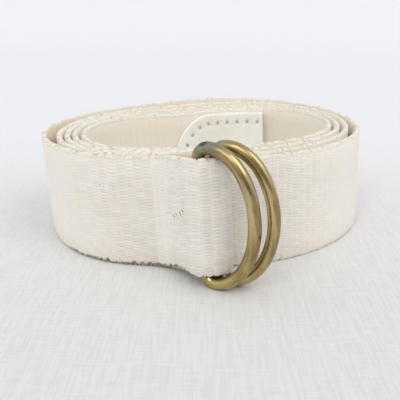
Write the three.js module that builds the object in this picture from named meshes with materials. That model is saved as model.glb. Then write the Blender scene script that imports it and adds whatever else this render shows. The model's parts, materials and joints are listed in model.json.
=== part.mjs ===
// A cotton webbing belt with two brass D-rings and a leather end tab, rolled up and standing on its edge.
// Units are millimetres. +X is right and +Y is away as seen from the front, +Z is up, and z = 0 is the table.
// The plan is drawn as if the coil stood upright, and then everything leans to the left by LEAN.

import * as THREE from 'three';

// Driving dimensions
const WEB_WIDTH = 31.6;
const WEB_THICK = 1.6;
const WEB_CHAMFER = 0.45;
const WEB_WIDTH_IN_RINGS = 31.0;
const LEAN = 0.067;
const GAP = 0.3;

const WIRE_RADIUS = 1.65;
const RING_HALF_HEIGHT = 17.95;
const RING_DEPTH = 14.9;
const RING_CORNER = 3.0;

const TAB_THICK = 1.2;
const TAB_HALF_HEIGHT = 14.7;
const TAB_LENGTH = 38.0;
const TAB_TIP_HALF_HEIGHT = 1.2;

const STEPS_PER_TURN = 52;
const LOOP_STEPS = 34;
const TAB_STEPS = 16;
const TAB_FOLD_STEPS = 6;
const WIRE_SIDES = 10;
const RING_ARC_STEPS = 30;
const RING_CORNER_STEPS = 4;

// The outer turn's outer face from above: a mean radius with a few waves round a centre
const OVAL = {
  x: 4.6,
  radius: 46.5,
  waves: [
    { count: 2, cos: 5.0, sin: 5.8 },
    { count: 3, cos: -1.45, sin: 1.0 },
    { count: 4, cos: -0.65, sin: -0.1 },
  ],
};

// Places round the coil, in turns from the front going left, and how far the outer face of each of
// the five turns lies inside the oval there
const PLACES = [
  { place: 'front', at: 0, inset: [0, 0.7, 4.3, 8.0, 11.8] },
  { place: 'seam', at: 0.0625, inset: [1.7, 5.9, 8.2, 10.5, 12.8] },
  { place: 'front left', at: 0.125, inset: [0.3, 2.9, 5.3, 7.7, 10.1] },
  { place: 'left', at: 0.25, inset: [0, 5.5, 7.9, 10.2, 13.4] },
  { place: 'back left', at: 0.375, inset: [0, 3.4, 6.2, 9.8, 14.6] },
  { place: 'back', at: 0.5, inset: [0, 2.5, 4.9, 7.3, 11.1] },
  { place: 'back right', at: 0.625, inset: [0, 2.7, 5.3, 7.8, 12.2] },
  { place: 'right', at: 0.75, inset: [-0.7, 3.2, 6.3, 9.4, 12.2] },
  { place: 'front right', at: 0.875, inset: [-0.2, 4.2, 8.2, 12.2, 12.2] },
];
// How far each turn stands off the table at the back
const BACK_RISE = [3.0, 1.6, 0.6, 0, 0];
const FIRST_TURN = 0.09;
const LAST_TURN = 4.592;

// The bars of the two rings in plan, and how far each ring is turned towards the front
const RINGS = [
  { name: 'd_ring_front', x: 1.7, y: -51.2, yaw: 31 },
  { name: 'd_ring_rear', x: 5.85, y: -49.4, yaw: 24 },
];

// The webbing's middle line round the two bars, from the sewn end inside to the outer face,
// with the height of its lower edge and its width
const LOOP = [
  { x: -10.6, y: -38.6, lift: 0.4, width: WEB_WIDTH },
  { x: -7.0, y: -40.4, lift: 1.4, width: WEB_WIDTH },
  { x: -3.6, y: -43.2, lift: 2.9, width: 31.2 },
  { x: 0.0, y: -45.6, lift: 4.0, width: WEB_WIDTH_IN_RINGS },
  { x: 3.2, y: -46.4, lift: 4.1, width: WEB_WIDTH_IN_RINGS },
  { x: 6.2, y: -46.6, lift: 4.1, width: WEB_WIDTH_IN_RINGS },
  { x: 8.0, y: -47.6, lift: 4.1, width: WEB_WIDTH_IN_RINGS },
  { x: 8.7, y: -49.4, lift: 4.1, width: WEB_WIDTH_IN_RINGS },
  { x: 8.1, y: -51.2, lift: 4.1, width: WEB_WIDTH_IN_RINGS },
  { x: 6.2, y: -52.4, lift: 4.1, width: WEB_WIDTH_IN_RINGS },
  { x: 3.4, y: -53.6, lift: 4.1, width: WEB_WIDTH_IN_RINGS },
  { x: 1.3, y: -54.05, lift: 4.1, width: WEB_WIDTH_IN_RINGS },
  { x: -0.6, y: -53.1, lift: 3.9, width: WEB_WIDTH_IN_RINGS },
  { x: -2.0, y: -50.6, lift: 3.5, width: WEB_WIDTH_IN_RINGS },
  { x: -4.0, y: -47.1, lift: 2.5, width: 31.2 },
  { x: -7.0, y: -43.4, lift: 1.3, width: WEB_WIDTH },
  { x: -10.6, y: -40.9, lift: 0.4, width: WEB_WIDTH },
];

// Smooth value through the table's knots, level at each knot that is a peak or a dip
function smoothValue(knots, t) {
  let i = 0;
  while (i < knots.length - 2 && t > knots[i + 1].t) i += 1;
  const slope = (k) => (knots[k + 1].v - knots[k].v) / (knots[k + 1].t - knots[k].t);
  const tangent = (k) => {
    if (k === 0) return slope(0);
    if (k === knots.length - 1) return slope(k - 1);
    const before = slope(k - 1);
    const after = slope(k);
    return before * after <= 0 ? 0 : (2 * before * after) / (before + after);
  };
  const a = knots[i];
  const b = knots[i + 1];
  const step = b.t - a.t;
  const s = (t - a.t) / step;
  return (
    a.v * (1 + 2 * s) * (1 - s) ** 2 +
    b.v * (3 - 2 * s) * s ** 2 +
    step * (tangent(i) * s * (1 - s) ** 2 - tangent(i + 1) * s ** 2 * (1 - s))
  );
}

function insetKnots() {
  return BACK_RISE.flatMap((_, turn) => PLACES.map(({ at, inset }) => ({ t: turn + at, v: inset[turn] })));
}

function ovalRadius(angle) {
  return OVAL.waves.reduce(
    (sum, w) => sum + w.cos * Math.cos(w.count * angle) + w.sin * Math.sin(w.count * angle),
    OVAL.radius,
  );
}

// The middle line of the webbing at so many turns from the front
function coilPoint(turn, knots) {
  const angle = -Math.PI / 2 - 2 * Math.PI * turn;
  const r = ovalRadius(angle) - smoothValue(knots, turn) - WEB_THICK / 2;
  const back = Math.max(0, Math.sin(angle));
  const rise = BACK_RISE[Math.floor(turn)] * back ** 2;
  return { x: OVAL.x + r * Math.cos(angle), y: r * Math.sin(angle), lift: rise, width: WEB_WIDTH };
}

// Every station of the webbing, from the sewn end inside the loop to the end in the middle of the coil
function strapStations() {
  const knots = insetKnots();
  const coil = [];
  const count = Math.ceil((LAST_TURN - FIRST_TURN) * STEPS_PER_TURN);
  for (let i = 0; i <= count; i += 1) {
    coil.push(coilPoint(FIRST_TURN + ((LAST_TURN - FIRST_TURN) * i) / count, knots));
  }
  const guide = [...LOOP, coil[0], coil[1]];
  const points = guide.map((p) => new THREE.Vector3(p.x, p.y, p.lift));
  const path = new THREE.CatmullRomCurve3(points, false, 'centripetal');
  const widths = guide.map((p, i) => ({ t: i, v: p.width }));
  const loop = [];
  const lastSpan = guide.length - 2;
  for (let i = 0; i < LOOP_STEPS; i += 1) {
    const place = (lastSpan * i) / LOOP_STEPS;
    const p = path.getPoint(place / (guide.length - 1));
    loop.push({ x: p.x, y: p.y, lift: p.z, width: smoothValue(widths, place) });
  }
  return withNormals([...loop, ...coil]);
}

// Adds to each station the unit vector across the webbing, towards the outside of the coil
function withNormals(stations) {
  return stations.map((p, i) => {
    const a = stations[Math.max(0, i - 1)];
    const b = stations[Math.min(stations.length - 1, i + 1)];
    const length = Math.hypot(b.x - a.x, b.y - a.y);
    return { ...p, nx: (b.y - a.y) / length, ny: -(b.x - a.x) / length };
  });
}

function leaned(x, y, z) {
  return new THREE.Vector3(x - LEAN * z, y, z);
}

// One closed body through sections of equal point counts: a ring when closed, else with flat ends
function loftGeometry(sections, closed) {
  const sides = sections[0].length;
  const positions = sections.flat().flatMap((p) => [p.x, p.y, p.z]);
  const index = [];
  const spans = closed ? sections.length : sections.length - 1;
  for (let i = 0; i < spans; i += 1) {
    const here = i * sides;
    const next = ((i + 1) % sections.length) * sides;
    for (let j = 0; j < sides; j += 1) {
      const k = (j + 1) % sides;
      index.push(here + j, next + j, next + k, here + j, next + k, here + k);
    }
  }
  if (!closed) {
    const last = (sections.length - 1) * sides;
    for (let j = 1; j < sides - 1; j += 1) {
      index.push(0, j, j + 1, last, last + j + 1, last + j);
    }
  }
  const geometry = new THREE.BufferGeometry();
  geometry.setAttribute('position', new THREE.Float32BufferAttribute(positions, 3));
  geometry.setIndex(signedVolume(positions, index) < 0 ? reversed(index) : index);
  geometry.computeVertexNormals();
  return geometry;
}

function signedVolume(positions, index) {
  const corner = (i) => new THREE.Vector3().fromArray(positions, 3 * index[i]);
  let sum = 0;
  for (let i = 0; i < index.length; i += 3) {
    sum += corner(i).dot(corner(i + 1).cross(corner(i + 2)));
  }
  return sum / 6;
}

function reversed(index) {
  const out = [];
  for (let i = 0; i < index.length; i += 3) out.push(index[i], index[i + 2], index[i + 1]);
  return out;
}

// The webbing's cross section: a flat strip with worn corners along both edges
function strapSection(station) {
  const half = WEB_THICK / 2;
  const c = WEB_CHAMFER;
  const low = station.lift;
  const high = station.lift + station.width;
  const corners = [
    [half, low + c], [half, high - c], [half - c, high], [c - half, high],
    [-half, high - c], [-half, low + c], [c - half, low], [half - c, low],
  ];
  return corners.map(([across, z]) =>
    leaned(station.x + station.nx * across, station.y + station.ny * across, z));
}

function strapGeometry(stations) {
  return loftGeometry(stations.map(strapSection), false);
}

// The leather tab: one strip folded round the webbing's end, with both of its ends cut round
function tabGeometry(stations) {
  const end = stations[stations.length - 1];
  const centreZ = end.lift + WEB_WIDTH / 2;
  const away = WEB_THICK / 2 + GAP + TAB_THICK / 2;
  const leg = tabLeg(stations);
  const sections = [];
  const add = (x, y, nx, ny, half) => {
    const t = TAB_THICK / 2;
    const corners = [[t, -half], [t, half], [-t, half], [-t, -half]];
    sections.push(corners.map(([across, up]) => leaned(x + nx * across, y + ny * across, centreZ + up)));
  };
  for (const p of leg) add(p.x + p.nx * away, p.y + p.ny * away, p.nx, p.ny, p.half);
  const start = Math.atan2(end.ny, end.nx);
  for (let i = 1; i < TAB_FOLD_STEPS; i += 1) {
    const angle = start - (Math.PI * i) / TAB_FOLD_STEPS;
    const nx = Math.cos(angle);
    const ny = Math.sin(angle);
    add(end.x + nx * away, end.y + ny * away, nx, ny, TAB_HALF_HEIGHT);
  }
  for (const p of leg.reverse()) add(p.x - p.nx * away, p.y - p.ny * away, -p.nx, -p.ny, p.half);
  return loftGeometry(sections, false);
}

// Places along the webbing under one leg of the tab, from the round end to the webbing's end
function tabLeg(stations) {
  const places = [];
  for (let i = 0; i <= TAB_STEPS; i += 1) {
    const turned = (Math.PI / 2) * (i / TAB_STEPS);
    places.push(TAB_HALF_HEIGHT * (1 - Math.cos(turned)));
  }
  const straight = TAB_LENGTH - TAB_HALF_HEIGHT;
  const straightSteps = TAB_STEPS / 2;
  for (let i = 1; i <= straightSteps; i += 1) places.push(TAB_HALF_HEIGHT + (straight * i) / straightSteps);
  return places.map((s) => {
    const inRound = Math.min(s, TAB_HALF_HEIGHT);
    const half = Math.sqrt(TAB_HALF_HEIGHT ** 2 - (TAB_HALF_HEIGHT - inRound) ** 2);
    return { ...stationFromEnd(stations, TAB_LENGTH - s), half: Math.max(half, TAB_TIP_HALF_HEIGHT) };
  });
}

// The station a given length back from the webbing's inner end
function stationFromEnd(stations, length) {
  let left = length;
  for (let i = stations.length - 1; i > 0; i -= 1) {
    const a = stations[i];
    const b = stations[i - 1];
    const step = Math.hypot(a.x - b.x, a.y - b.y);
    if (left <= step) {
      const t = left / step;
      const mix = (key) => a[key] + (b[key] - a[key]) * t;
      const size = Math.hypot(mix('nx'), mix('ny'));
      return { x: mix('x'), y: mix('y'), nx: mix('nx') / size, ny: mix('ny') / size };
    }
    left -= step;
  }
  return stations[0];
}

// The wire's middle line: a straight bar on the Z axis, two small corners and a half-oval arc
function ringPath() {
  const path = [];
  const reach = RING_DEPTH - RING_CORNER;
  for (let i = 0; i <= RING_ARC_STEPS; i += 1) {
    const t = -Math.PI / 2 + (Math.PI * i) / RING_ARC_STEPS;
    path.push({ a: RING_CORNER + reach * Math.cos(t), z: RING_HALF_HEIGHT * Math.sin(t) });
  }
  const corner = (from, z) => {
    for (let i = 1; i <= RING_CORNER_STEPS; i += 1) {
      const t = from + ((Math.PI / 2) * i) / RING_CORNER_STEPS;
      path.push({ a: RING_CORNER + RING_CORNER * Math.cos(t), z: z + RING_CORNER * Math.sin(t) });
    }
  };
  corner(Math.PI / 2, RING_HALF_HEIGHT - RING_CORNER);
  path.push({ a: 0, z: 0 });
  path.push({ a: 0, z: RING_CORNER - RING_HALF_HEIGHT });
  corner(Math.PI, RING_CORNER - RING_HALF_HEIGHT);
  path.pop();
  return path;
}

function ringGeometry() {
  const path = ringPath();
  const sections = path.map((p, i) => {
    const before = path[(i + path.length - 1) % path.length];
    const after = path[(i + 1) % path.length];
    const length = Math.hypot(after.a - before.a, after.z - before.z);
    const outA = (after.z - before.z) / length;
    const outZ = -(after.a - before.a) / length;
    return Array.from({ length: WIRE_SIDES }, (_, k) => {
      const t = (2 * Math.PI * (k + 0.5)) / WIRE_SIDES;
      const out = WIRE_RADIUS * Math.cos(t);
      return new THREE.Vector3(p.a + outA * out, WIRE_RADIUS * Math.sin(t), p.z + outZ * out);
    });
  });
  return loftGeometry(sections, true);
}

const materials = {
  cotton: new THREE.MeshStandardMaterial({ color: 0xe9e0d2, roughness: 0.95, metalness: 0 }),
  leather: new THREE.MeshStandardMaterial({ color: 0xdfe0d8, roughness: 0.55, metalness: 0 }),
  brass: new THREE.MeshStandardMaterial({ color: 0x9a7f3c, roughness: 0.35, metalness: 1 }),
};

function namedMesh(name, geometry, material) {
  const mesh = new THREE.Mesh(geometry, material);
  mesh.name = name;
  return mesh;
}

// A ring leans with the webbing that holds it, and stands on the table at its lowest point
function placedRing({ name, x, y, yaw }) {
  const ring = namedMesh(name, ringGeometry(), materials.brass);
  ring.rotation.z = -THREE.MathUtils.degToRad(yaw);
  const holder = new THREE.Group();
  holder.add(ring);
  holder.rotation.y = -Math.atan(LEAN);
  holder.updateMatrixWorld(true);
  const middleZ = -new THREE.Box3().setFromObject(holder, true).min.z;
  holder.position.set(x - LEAN * middleZ, y, middleZ);
  return holder;
}

const stations = strapStations();
const belt = new THREE.Group();
belt.add(namedMesh('webbing_strap', strapGeometry(stations), materials.cotton));
belt.add(namedMesh('end_tab', tabGeometry(stations), materials.leather));
for (const ring of RINGS) belt.add(placedRing(ring));

// The origin is on the table, under the middle of the belt
belt.updateMatrixWorld(true);
const box = new THREE.Box3().setFromObject(belt, true);
belt.position.set(-(box.min.x + box.max.x) / 2, -(box.min.y + box.max.y) / 2, 0);

export default belt;
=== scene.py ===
# %% [markdown]
# # A rolled cotton belt with two D-rings
# The belt is one long strip of natural cotton webbing. It is rolled into a loose oval coil that stands on
# its edge. Its outer end holds two brass D-rings in a sewn loop, and its inner end wears a folded
# tab of white leather. Every shape here is worked out as whole arrays and then put into a mesh.

import json

import bpy
import numpy as np
from mathutils import Matrix, Vector


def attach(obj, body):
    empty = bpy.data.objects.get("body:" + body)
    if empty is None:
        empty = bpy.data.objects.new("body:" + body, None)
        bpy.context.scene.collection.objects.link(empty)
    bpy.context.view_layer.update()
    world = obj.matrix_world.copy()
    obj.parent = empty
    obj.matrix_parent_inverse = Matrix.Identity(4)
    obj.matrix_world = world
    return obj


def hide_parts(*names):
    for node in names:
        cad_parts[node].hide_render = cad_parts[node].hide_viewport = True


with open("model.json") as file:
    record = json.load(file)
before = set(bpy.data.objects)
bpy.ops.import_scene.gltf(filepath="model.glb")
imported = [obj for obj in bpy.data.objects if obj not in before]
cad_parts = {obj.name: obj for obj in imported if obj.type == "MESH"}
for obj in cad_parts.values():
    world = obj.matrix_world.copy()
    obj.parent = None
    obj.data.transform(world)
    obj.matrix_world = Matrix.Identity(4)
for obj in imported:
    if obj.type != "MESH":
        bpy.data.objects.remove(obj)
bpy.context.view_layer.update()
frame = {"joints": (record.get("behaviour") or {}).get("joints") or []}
MM = 0.001

# %% [markdown]
# ## The camera
# The photograph looks down on the coil from about a hand's length away, so near things look clearly
# larger. A pinhole camera that was fitted to the coil's edges gives the lens, the place and the tilt.

# %% Camera
FRAME_PIXELS = 400
FOCAL_PIXELS = 551
SENSOR_WIDTH = 36.0
NEAREST_SEEN = 0.01
CAMERA_PLACE = np.array([-3.08, -172.42, 69.7]) * MM
PITCH_DOWN = np.radians(19.57)
ROLL = np.radians(0.81)


def put_object(name, data):
    """A new object in the scene, at the origin."""
    thing = bpy.data.objects.new(name, data)
    bpy.context.scene.collection.objects.link(thing)
    return thing


# a camera looks down its own -Z, so it is raised to look along +Y, less the dip, and then rolled
camera = put_object("camera", bpy.data.cameras.new("camera"))
camera.data.sensor_width = SENSOR_WIDTH
camera.data.lens = FOCAL_PIXELS / FRAME_PIXELS * SENSOR_WIDTH
camera.data.clip_start = NEAREST_SEEN
turn = Matrix.Rotation(np.pi / 2 - PITCH_DOWN, 4, "X") @ Matrix.Rotation(ROLL, 4, "Z")
camera.matrix_world = Matrix.Translation(CAMERA_PLACE) @ turn
bpy.context.scene.camera = camera
print("lens", round(camera.data.lens, 2), "mm")

# %% [markdown]
# ## The route of the webbing
# Seen from above, the webbing starts inside its sewn loop, passes round the bars of both rings, and then
# winds inwards four and a half times. The coil could be a plain spiral, but a real roll is uneven: the
# layers part at the bends and lie close along the sides. So the outer face is an oval with a few
# waves, and a table says how far each turn lies inside it at nine places.

# %% Sizes and the coil's table
WEB_WIDTH = 31.6 * MM
WEB_THICK = 1.6 * MM
LEAN = 0.067

OVAL_X = 4.6 * MM
OVAL_RADIUS = 46.5 * MM
OVAL_WAVES = [(2, 5.0 * MM, 5.8 * MM), (3, -1.45 * MM, 1.0 * MM), (4, -0.65 * MM, -0.1 * MM)]

# how far each of the five turns lies inside the oval, in millimetres
PLACES = {
    "front": (0, [0, 0.7, 4.3, 8.0, 11.8]),
    "seam": (0.0625, [1.7, 5.9, 8.2, 10.5, 12.8]),
    "front left": (0.125, [0.3, 2.9, 5.3, 7.7, 10.1]),
    "left": (0.25, [0, 5.5, 7.9, 10.2, 13.4]),
    "back left": (0.375, [0, 3.4, 6.2, 9.8, 14.6]),
    "back": (0.5, [0, 2.5, 4.9, 7.3, 11.1]),
    "back right": (0.625, [0, 2.7, 5.3, 7.8, 12.2]),
    "right": (0.75, [-0.7, 3.2, 6.3, 9.4, 12.2]),
    "front right": (0.875, [-0.2, 4.2, 8.2, 12.2, 12.2]),
}
BACK_RISE = np.array([3.0, 1.6, 0.6, 0, 0]) * MM
FIRST_TURN = 0.09
LAST_TURN = 4.592

# the middle line round the ring bars: plan x, plan y, height of the lower edge, width, in millimetres
LOOP = np.array([
    (-10.6, -38.6, 0.4, 31.6), (-7.0, -40.4, 1.4, 31.6), (-3.6, -43.2, 2.9, 31.2), (0.0, -45.6, 4.0, 31.0),
    (3.2, -46.4, 4.1, 31.0), (6.2, -46.6, 4.1, 31.0), (8.0, -47.6, 4.1, 31.0), (8.7, -49.4, 4.1, 31.0),
    (8.2, -51.5, 4.1, 31.0), (6.9, -52.65, 4.1, 31.0), (3.4, -53.65, 4.1, 31.0), (1.3, -54.05, 4.1, 31.0),
    (-0.6, -53.1, 3.9, 31.0), (-2.0, -50.6, 3.5, 31.0), (-4.0, -47.1, 2.5, 31.2), (-7.0, -43.4, 1.3, 31.6),
    (-10.6, -40.9, 0.4, 31.6),
]) * MM

# %% The coil as a function of turns


def cubic(first, last, start, end, s):
    """From first to last as s goes from 0 to 1, with the slopes start and end at its two ends."""
    ends = first * (1 + 2 * s) * (1 - s) ** 2 + last * (3 - 2 * s) * s**2
    return ends + start * s * (1 - s) ** 2 - end * s**2 * (1 - s)


def smooth_value(knot_at, knot_value, at):
    """Cubic through the knots. Its slope at a knot is the harmonic mean of the slopes on both sides, and
    level at a peak or a dip, so it never overshoots the table."""
    slope = np.diff(knot_value) / np.diff(knot_at)
    before, after = slope[:-1], slope[1:]
    same_way = before * after > 0
    mean = np.where(same_way, 2 * before * after / np.where(same_way, before + after, 1), 0)
    tangent = np.concatenate([slope[:1], mean, slope[-1:]])
    i = np.clip(np.searchsorted(knot_at, at, side="right") - 1, 0, len(slope) - 1)
    step = knot_at[i + 1] - knot_at[i]
    s = (at - knot_at[i]) / step
    return cubic(knot_value[i], knot_value[i + 1], step * tangent[i], step * tangent[i + 1], s)


TURN_NUMBERS = range(len(BACK_RISE))
KNOT_AT = np.array([turn + at for turn in TURN_NUMBERS for at, _ in PLACES.values()])
KNOT_INSET = np.array([row[turn] for turn in TURN_NUMBERS for _, row in PLACES.values()]) * MM


def coil_line(turn):
    """Middle line at so many turns from the front: plan x and y, height of the lower edge, width. The
    oval's radius is a mean plus waves that run two, three and four times round."""
    angle = -np.pi / 2 - 2 * np.pi * turn
    waves = sum(a * np.cos(n * angle) + b * np.sin(n * angle) for n, a, b in OVAL_WAVES)
    radius = OVAL_RADIUS + waves - smooth_value(KNOT_AT, KNOT_INSET, turn) - WEB_THICK / 2
    rise = BACK_RISE[np.floor(turn).astype(int)] * np.maximum(0, np.sin(angle)) ** 2
    width = np.full_like(turn, WEB_WIDTH)
    return np.stack([OVAL_X + radius * np.cos(angle), radius * np.sin(angle), rise, width], 1)


# %% [markdown]
# The loop round the bars is a spline through the points listed above. A centripetal spline is
# used, because it passes through every point without the small loops of a uniform one. Its last two
# points are the first two sections of the solid coil, so that it meets the coil at the same slope.

# %% The loop and the whole route
LOOP_STEPS_PER_SPAN = 24
COIL_STEPS = 6000
SECTIONS_PER_TURN = 52
TURNS = LAST_TURN - FIRST_TURN
TURNS_PER_SECTION = TURNS / np.ceil(TURNS * SECTIONS_PER_TURN)


def centripetal(points, steps):
    """Each span is a cubic whose end slopes come from its neighbours, with time growing as the square
    root of the distance between points."""
    first, last = 2 * points[0] - points[1], 2 * points[-1] - points[-2]
    p = np.vstack([first, points, last])
    time = np.sqrt(np.linalg.norm(np.diff(p[:, :3], axis=0), axis=1))[:, None]
    d0, d1, d2 = time[:-2], time[1:-1], time[2:]
    p0, p1, p2, p3 = p[:-3], p[1:-2], p[2:-1], p[3:]
    start = ((p1 - p0) / d0 - (p2 - p0) / (d0 + d1) + (p2 - p1) / d1) * d1
    end = ((p2 - p1) / d1 - (p3 - p1) / (d1 + d2) + (p3 - p2) / d2) * d1
    s = (np.arange(steps) / steps)[None, :, None]
    spans = cubic(*(q[:, None, :] for q in (p1, p2, start, end)), s)
    return spans.reshape(-1, points.shape[1])


def even_steps(line, count):
    """The same line cut into steps of equal plan length, with the length so far as a last column."""
    plan_length = np.concatenate([[0], np.cumsum(np.linalg.norm(np.diff(line[:, :2], axis=0), axis=1))])
    at = np.linspace(0, plan_length[-1], count)
    columns = [np.interp(at, plan_length, column) for column in line.T]
    return np.stack([*columns, at], 1)


joint = coil_line(np.array([FIRST_TURN, FIRST_TURN + TURNS_PER_SECTION]))
loop = centripetal(np.vstack([LOOP, joint]), LOOP_STEPS_PER_SPAN)
coil = coil_line(np.linspace(FIRST_TURN, LAST_TURN, COIL_STEPS))
LINE = np.vstack([loop[:-LOOP_STEPS_PER_SPAN], coil])
WEB_LENGTH = even_steps(LINE, 4)[-1, -1]
print("webbing", round(WEB_LENGTH, 4), "m long")

# %% [markdown]
# ## From the plan to the part
# The plan is drawn as if the coil stood upright. The whole belt leans a little to the left, which is one
# sideways shear, and the part's origin is under the middle of its box. The hinge of the front ring
# says where that is, so both drawings share one place.

# %% Lean and shift
FRONT_BAR_PLAN = (1.7 * MM, -51.2 * MM)
RINGS = {
    "d_ring_front": {"yaw": 31, "phase": 12, "joint": "front_ring_swing", "body": "front_ring"},
    "d_ring_rear": {"yaw": 24, "phase": 11, "joint": "rear_ring_swing", "body": "rear_ring"},
}
HINGES = {joint["name"]: np.array(joint["pos_m"]) for joint in frame["joints"]}
FRONT_HINGE = HINGES["front_ring_swing"]
# what takes the plan to the part: the front ring's hinge less its bar's leaned plan place
bar_x, bar_y = FRONT_BAR_PLAN
SHIFT = np.array([FRONT_HINGE[0] - (bar_x - LEAN * FRONT_HINGE[2]), FRONT_HINGE[1] - bar_y, 0])


def leaned(x, y, z):
    """Points in the part's frame from plan places and heights, as one array with a last axis of three."""
    return np.stack(np.broadcast_arrays(x - LEAN * z, y, z), -1) + SHIFT


print("plan to part", np.round(SHIFT / MM, 3), "mm")

# %% [markdown]
# ## One helper for swept surfaces
# The webbing, the tab and the rings are all the same kind of surface: a closed section carried along a
# path. So one helper turns a grid of points into a closed mesh, with flat ends where the path is open,
# and turns its faces outwards by the sign of its volume.

# %% Mesh from a grid


def unit(vectors):
    """The same directions, each with a length of one."""
    return vectors / np.linalg.norm(vectors, axis=-1, keepdims=True)


def grid_quads(rows, columns, closed_path):
    """Quads between neighbours of a grid whose columns wrap, and whose rows wrap on a closed path."""
    r = np.arange(rows if closed_path else rows - 1)[:, None]
    c = np.arange(columns)[None, :]
    next_r, next_c = (r + 1) % rows, (c + 1) % columns
    corners = [r * columns + c, next_r * columns + c, next_r * columns + next_c, r * columns + next_c]
    return np.stack(np.broadcast_arrays(*corners), -1).reshape(-1, 4)


def signed_volume(points, quads):
    """Sum of the tetrahedra from the origin to each quad's two halves."""
    a, b, c, d = (points[quads[:, k]] for k in range(4))
    halves = np.einsum("ij,ij->i", a, np.cross(b, c)) + np.einsum("ij,ij->i", a, np.cross(c, d))
    return halves.sum() / 6


def smooth_mesh(name, points, faces):
    """Mesh from rows of xyz and lists of point numbers, shaded smooth."""
    mesh = bpy.data.meshes.new(name)
    mesh.from_pydata(points.tolist(), [], faces)
    mesh.polygons.foreach_set("use_smooth", np.ones(len(faces), bool))
    mesh.update()
    return mesh


def swept_mesh(name, grid, closed_path=False, cloth=None):
    """Closed mesh from sections (rows of grid). cloth gives each point a place on the flat cloth."""
    rows, columns = grid.shape[:2]
    points = grid.reshape(-1, 3)
    quads = grid_quads(rows, columns, closed_path)
    inside_out = signed_volume(points - points.mean(0), quads) < 0
    faces = (quads[:, ::-1] if inside_out else quads).tolist()
    if not closed_path:
        first = list(range(columns))
        last = list(range((rows - 1) * columns, rows * columns))
        faces += [first[::-1], last] if inside_out else [first, last[::-1]]
    mesh = smooth_mesh(name, points, faces)
    if cloth is not None:
        corner_points = np.empty(len(mesh.loops), np.int32)
        mesh.loops.foreach_get("vertex_index", corner_points)
        layer = mesh.uv_layers.new(name="cloth")
        layer.uv.foreach_set("vector", cloth.reshape(-1, 2)[corner_points].astype(np.float32).ravel())
    mesh.validate()
    mesh.update()
    return mesh


def add_attribute(mesh, name, values):
    """One number for each point, or three where values has a last axis of three."""
    many = values.ndim == 3
    attribute = mesh.attributes.new(name, "FLOAT_VECTOR" if many else "FLOAT", "POINT")
    attribute.data.foreach_set("vector" if many else "value", values.astype(np.float32).ravel())


def add_piece(name, mesh, body, material):
    """An object at the origin that rides on a body and takes its finish from a slot."""
    piece = put_object(name, mesh)
    mesh.materials.append(material)
    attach(piece, body)
    print(name, len(mesh.polygons), "faces")
    return piece


# %% [markdown]
# ## The weave's shape
# This webbing is a warp-faced weave: the lengthwise threads cover the crosswise ones, so the face shows
# ribs across the width, each made of short floats that step like bricks. The ribs and the bumpy
# selvedges are wide enough to be real shape. The floats are under a millimetre, so they are left to
# the material.

# %% Ribs, selvedges and slow waves
RIB_PITCH = 2.4 * MM
FLOAT_PITCH = 0.885 * MM
STATIONS_PER_RIB = 8
RIB_DEPTH = 0.05 * MM
HALF_RIB_DEPTH = 0.03 * MM
RIB_ROUND = 0.6
RIB_WANDER = 0.22 * MM
WANDER_WAVES = (11 * MM, 17 * MM, 29 * MM)
FLOOR_CLEAR = 0.01 * MM
SELVEDGE_BUMP = 0.42 * MM
SMALLEST_BUMP = 0.35
BUMP_ROUND = 0.7
SELVEDGE_RAGGED = 0.13 * MM
RAGGED_WAVES = (1.9 * MM, 3.1 * MM, 6.7 * MM)
TOP_SEED, LOW_SEED, WANDER_SEED = 3, 4, 5
WORN_EDGE_MIDDLE, WORN_EDGE_HALF = 57 * MM, 26 * MM
WORN_EDGE_LIFT = 0.4 * MM
WORN_EDGE_MORE = 0.7
NOTCH_FROM = 0.55
FACE_POINTS = 8
EDGE_POINTS = 3
EDGE_ROUND = 0.55 * MM
EDGE_MOVES_FROM = 0.7


def smooth_noise(along, seed, wavelengths, size):
    """Sum of sines at the given wavelengths with seeded phases, about size high."""
    rng = np.random.default_rng(seed)
    phases = rng.uniform(0, 2 * np.pi, len(wavelengths))
    waves = [np.sin(2 * np.pi * along / w + p) for w, p in zip(wavelengths, phases)]
    return size * np.sum(waves, 0) / np.sqrt(len(wavelengths))


def selvedge_bumps(woven, seed):
    """One bump for each rib, each of its own height, with a little raggedness, never above a full bump."""
    rib = np.floor(woven / RIB_PITCH + 0.5).astype(int)
    size = np.random.default_rng(seed).uniform(SMALLEST_BUMP, 1.0, rib.max() + 2)[rib]
    bump = size * np.abs(np.cos(np.pi * woven / RIB_PITCH)) ** BUMP_ROUND * SELVEDGE_BUMP
    ragged = smooth_noise(woven, seed, RAGGED_WAVES, SELVEDGE_RAGGED)
    return np.minimum(bump + ragged, SELVEDGE_BUMP)


def ribbed(wave, depth):
    """Nothing at a wave's peaks and one depth down where it crosses zero, with round tops between."""
    return depth * (np.abs(wave) ** RIB_ROUND - 1)


def web_section():
    """Closed section with two faces and two round edges: across and up from -1 to 1, on_face, and where
    the faces end."""
    inner_half = 1 - 2 * EDGE_ROUND / WEB_WIDTH
    face = np.linspace(-inner_half, inner_half, FACE_POINTS)
    turn = np.linspace(-np.pi / 2, np.pi / 2, EDGE_POINTS + 2)[1:-1]
    edge_up = inner_half + (1 - inner_half) * np.cos(turn)
    edge_across = -np.sin(turn)
    across = np.concatenate([np.ones(FACE_POINTS), edge_across, -np.ones(FACE_POINTS), -edge_across])
    up = np.concatenate([face, edge_up, -face, -edge_up])
    on_face = np.concatenate([np.ones(FACE_POINTS), np.zeros(EDGE_POINTS)] * 2)
    return across, up, on_face, inner_half


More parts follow.
